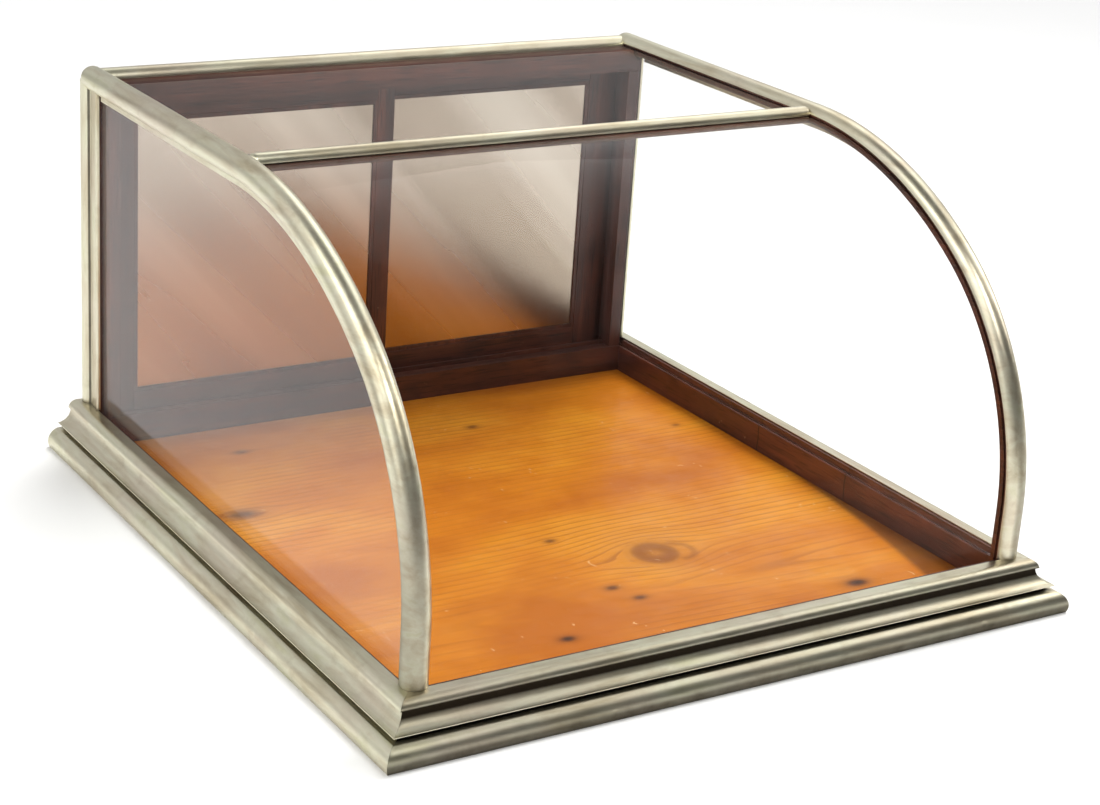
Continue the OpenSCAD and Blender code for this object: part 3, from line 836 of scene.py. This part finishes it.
def bent_pane():
    """The bent front glass, swept along the rails' path."""
    lo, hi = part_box("front_glass")
    path = bend_path(hi.y, lo.z, 5 * MM)
    t = GLASS_T - 0.1 * MM
    out = GLASS_OUT - 0.05 * MM
    rows = 60
    rings = []
    for q in path:
        top = [Vector((lo.x + (hi.x - lo.x) * i / rows, q[0] - out * math.sin(q[2]),
                       q[1] + out * math.cos(q[2]))) for i in range(rows + 1)]
        low = [Vector((p.x, q[0] - (out - t) * math.sin(q[2]), q[1] + (out - t) * math.cos(q[2])))
               for p in reversed(top)]
        rings.append(top + low)
    ob = rings_object("glass_front", rings)
    shade(ob, 40)
    return ob


place(bent_pane(), "case", "glass", GLASS, "front_glass")
for node, pane in (("top_glass", FILMED), ("side_glass_left", DUSTY), ("side_glass_right", GLASS)):
    place(cad_copy(node, 0.3), "case", "glass", pane, node)
for node in ("left_door_mirror", "right_door_mirror"):
    place(cad_copy(node, 0.3), body_name(node), "mirror", MIRROR, node)
for node in ("left_door_pull", "right_door_pull"):
    ob = cad_copy(node, 0.25, 3)
    painted_shade_by(ob, no_painted_shade)
    place(ob, body_name(node), "nickel", NICKEL["x"], node)


# ---------------------------------------------------------------- studio

floor = new_object("studio_floor", [(-40, -40, 0), (40, -40, 0), (40, 40, 0), (-40, 40, 0)],
                   [(0, 1, 2, 3)])
floor.data.materials.append(pale_floor())


def area(name, at, look, size, power, colour):
    """A softbox. The panes let shadow rays through, so bent rays must not meet the lamp again."""
    light = bpy.data.lights.new(name, "AREA")
    light.shape = "RECTANGLE"
    light.size, light.size_y = size
    light.energy = power
    light.color = colour
    ob = bpy.data.objects.new(name, light)
    bpy.context.scene.collection.objects.link(ob)
    ob.location = at
    ob.rotation_euler = (Vector(look) - Vector(at)).to_track_quat("-Z", "Y").to_euler()
    ob.visible_transmission = False
    return ob


def sun(name, toward, strength, angle):
    light = bpy.data.lights.new(name, "SUN")
    light.energy = strength
    light.angle = math.radians(angle)
    ob = bpy.data.objects.new(name, light)
    bpy.context.scene.collection.objects.link(ob)
    ob.rotation_euler = Vector(toward).to_track_quat("Z", "Y").to_euler()
    ob.visible_glossy = False
    ob.visible_transmission = False
    return ob


# Lamps: name, place, what it looks at, size, power and colour
WARM, WARMER = (1.0, 0.99, 0.96), (1.0, 0.98, 0.95)
sun("key", (0.45, 0.32, 0.84), 2.6, 34)
area("overhead_strip", (1.30, 0.30, 2.0), (0, 0, 0.2), (3.4, 1.1), 15, WARM)
area("left_softbox", (-2.3, -0.75, 1.25), (0, 0, 0.2), (1.3, 1.3), 7, WARMER)
area("top_softbox", (-1.35, -0.35, 2.15), (0, 0, 0.2), (2.2, 1.0), 19, WARM)
area("front_softbox", (0.02, -1.50, 2.15), (0, -0.1, 0.1), (0.8, 0.8), 14, WARM)
area("right_softbox", (2.20, -0.30, 1.25), (0, 0, 0.2), (0.8, 1.2), 12, WARMER)

# Backdrop: pale paper behind the case, dimmer low down and to the left, a grey wall at the left,
# and dark above and to the front
world = bpy.data.worlds.new("studio")
world.use_nodes = True
bpy.context.scene.world = world
wt = world.node_tree
bg = wt.nodes["Background"]
tc = wt.nodes.new("ShaderNodeTexCoord")
sep = wt.nodes.new("ShaderNodeSeparateXYZ")
wt.links.new(tc.outputs["Generated"], sep.inputs[0])


def world_ramp(axis, lo, hi, out_lo, out_hi):
    n = wt.nodes.new("ShaderNodeMapRange")
    n.interpolation_type = "SMOOTHSTEP"
    wt.links.new(sep.outputs[axis], n.inputs["Value"])
    for key, value in (("From Min", lo), ("From Max", hi), ("To Min", out_lo), ("To Max", out_hi)):
        n.inputs[key].default_value = value
    return n.outputs["Result"]


def world_math(op, a, b):
    n = wt.nodes.new("ShaderNodeMath")
    n.operation = op
    for socket, value in zip(n.inputs, (a, b)):
        if hasattr(value, "is_output"):
            wt.links.new(value, socket)
        else:
            socket.default_value = value
    return n.outputs[0]


paper = world_math("MULTIPLY", world_ramp("Y", 0.05, 0.45, 0.0, 1.0),
                   world_ramp("Z", 0.80, 0.92, 1.0, 0.0))
paper = world_math("MULTIPLY", paper, world_ramp("X", 0.3, 0.62, 0.60, 1.15))
paper = world_math("MULTIPLY", paper, world_ramp("Z", 0.23, 0.38, 0.4, 1.0))
side = world_math("MULTIPLY", world_ramp("X", -0.75, -0.15, 0.40, 0.0),
                  world_ramp("Z", 0.55, 0.85, 1.0, 0.0))
level = world_math("ADD", world_math("ADD", paper, side), 0.07)
wt.links.new(level, bg.inputs["Color"])
bg.inputs["Strength"].default_value = 1.0

# The camera's place and turn
cam = bpy.data.cameras.new("camera")
cam.sensor_width = 36
cam.lens = 76.44
camera = bpy.data.objects.new("camera", cam)
bpy.context.scene.collection.objects.link(camera)
yaw, pitch, roll = (math.radians(a) for a in (-32.8641, -20.4318, 3.8515))
fwd = Vector((math.sin(-yaw) * math.cos(pitch), math.cos(yaw) * math.cos(pitch), math.sin(pitch)))
right = fwd.cross(Vector((0, 0, 1))).normalized()
up = right.cross(fwd)
r2 = math.cos(roll) * right + math.sin(roll) * up
u2 = -math.sin(roll) * right + math.cos(roll) * up
m = Matrix((r2, u2, -fwd)).transposed().to_4x4()
m.translation = Vector((-1.08556, -1.69521, 0.87395))
camera.matrix_world = m
bpy.context.scene.camera = camera
bpy.context.scene.view_settings.view_transform = "Standard"
